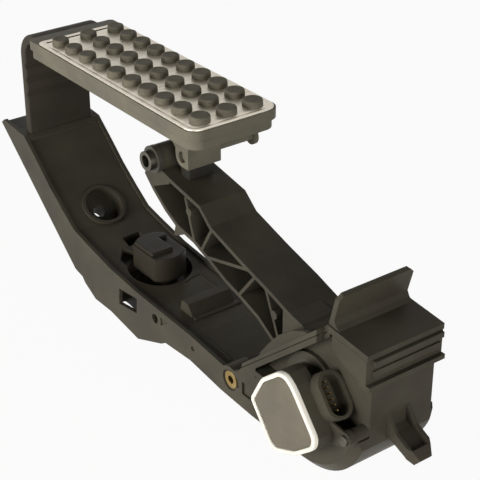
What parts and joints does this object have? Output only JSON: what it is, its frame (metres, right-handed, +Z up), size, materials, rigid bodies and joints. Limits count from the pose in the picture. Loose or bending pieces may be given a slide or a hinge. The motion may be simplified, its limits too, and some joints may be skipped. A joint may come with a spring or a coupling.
{
  "type": "accelerator pedal",
  "caption": "Floor-mounted accelerator pedal: studded metal treadle on a flexible heel strap, sliding on a ribbed lever that turns in a drum with an angle sensor.",
  "frame": {"origin": "centre of the heel bolt's hole at the sloped underside that lies on the floor pan", "axes": "+X from the heel to the drum, +Y to the side away from the sensor, +Z up with the treadle level"},
  "size_m": [0.3886, 0.085, 0.1699],
  "materials": {
    "base_plastic": "moulded glass-filled nylon, fine grain",
    "carrier_plastic": "moulded nylon, fine grain, dark olive grey",
    "satin_steel": "satin stainless sheet with a rolled rim",
    "stud_rubber": "matt rubber studs",
    "strap_rubber": "flexible moulded strap",
    "pin_steel": "drawn steel",
    "insert_brass": "turned brass",
    "rim_light": "light moulded rim",
    "plate_grey": "flat grey plate",
    "board_green": "circuit board",
    "pin_gold": "plated contact pins"
  },
  "bodies": {
    "base": {"base_plate": "base_plastic", "brass_insert": "insert_brass", "stop_cap": "base_plastic", "kickdown_body": "carrier_plastic", "kickdown_spring": "pin_steel", "hinge_strap": "strap_rubber", "axle_bush_left": "carrier_plastic", "axle_bush_right": "carrier_plastic", "return_spring_outer": "pin_steel", "return_spring_inner": "pin_steel", "friction_shoe": "carrier_plastic", "friction_spring": "pin_steel", "sensor_body": "base_plastic", "sensor_rim": "rim_light", "sensor_plate": "plate_grey", "sensor_board": "board_green", "connector_pins": "pin_gold", "sensor_screws": "pin_steel"},
    "treadle": {"pad_carrier": "carrier_plastic", "tread_plate": "satin_steel", "stud_mat": "stud_rubber", "slide_shoe": "base_plastic", "shoe_pin": "base_plastic"},
    "lever": {"lever_arm": "base_plastic", "tip_tube": "pin_steel", "tip_bush_left": "base_plastic", "tip_bush_right": "base_plastic", "lever_axle": "pin_steel", "sensor_rotor": "carrier_plastic", "rotor_magnet": "pin_steel"},
    "kickdown": {"kickdown_plunger": "base_plastic"}
  },
  "joints": [
    {"name": "treadle_hinge", "type": "hinge", "parent": "base", "child": "treadle", "pos_m": [-0.039, 0, 0.095], "axis": [0, 1, 0], "range_deg": [0, 15.2], "stiffness_Nm_per_rad": 0.8, "springref_deg": -11.46, "deforming": ["hinge_strap"]},
    {"name": "lever_pivot", "type": "hinge", "parent": "base", "child": "lever", "pos_m": [0.256, 0, 0.015], "axis": [0, -1, 0], "range_deg": [0, 17.9], "stiffness_Nm_per_rad": 2.5, "springref_deg": -28.65},
    {"name": "kickdown_press", "type": "slide", "parent": "base", "child": "kickdown", "axis": [0, 0, -1], "range_m": [0, 0.004], "stiffness_N_per_m": 3000, "springref_m": -0.002, "deforming": ["kickdown_spring"]}
  ],
  "couplings": [
    {"joint": "lever_pivot", "follows": "treadle_hinge", "ratio": 1.1765}
  ]
}
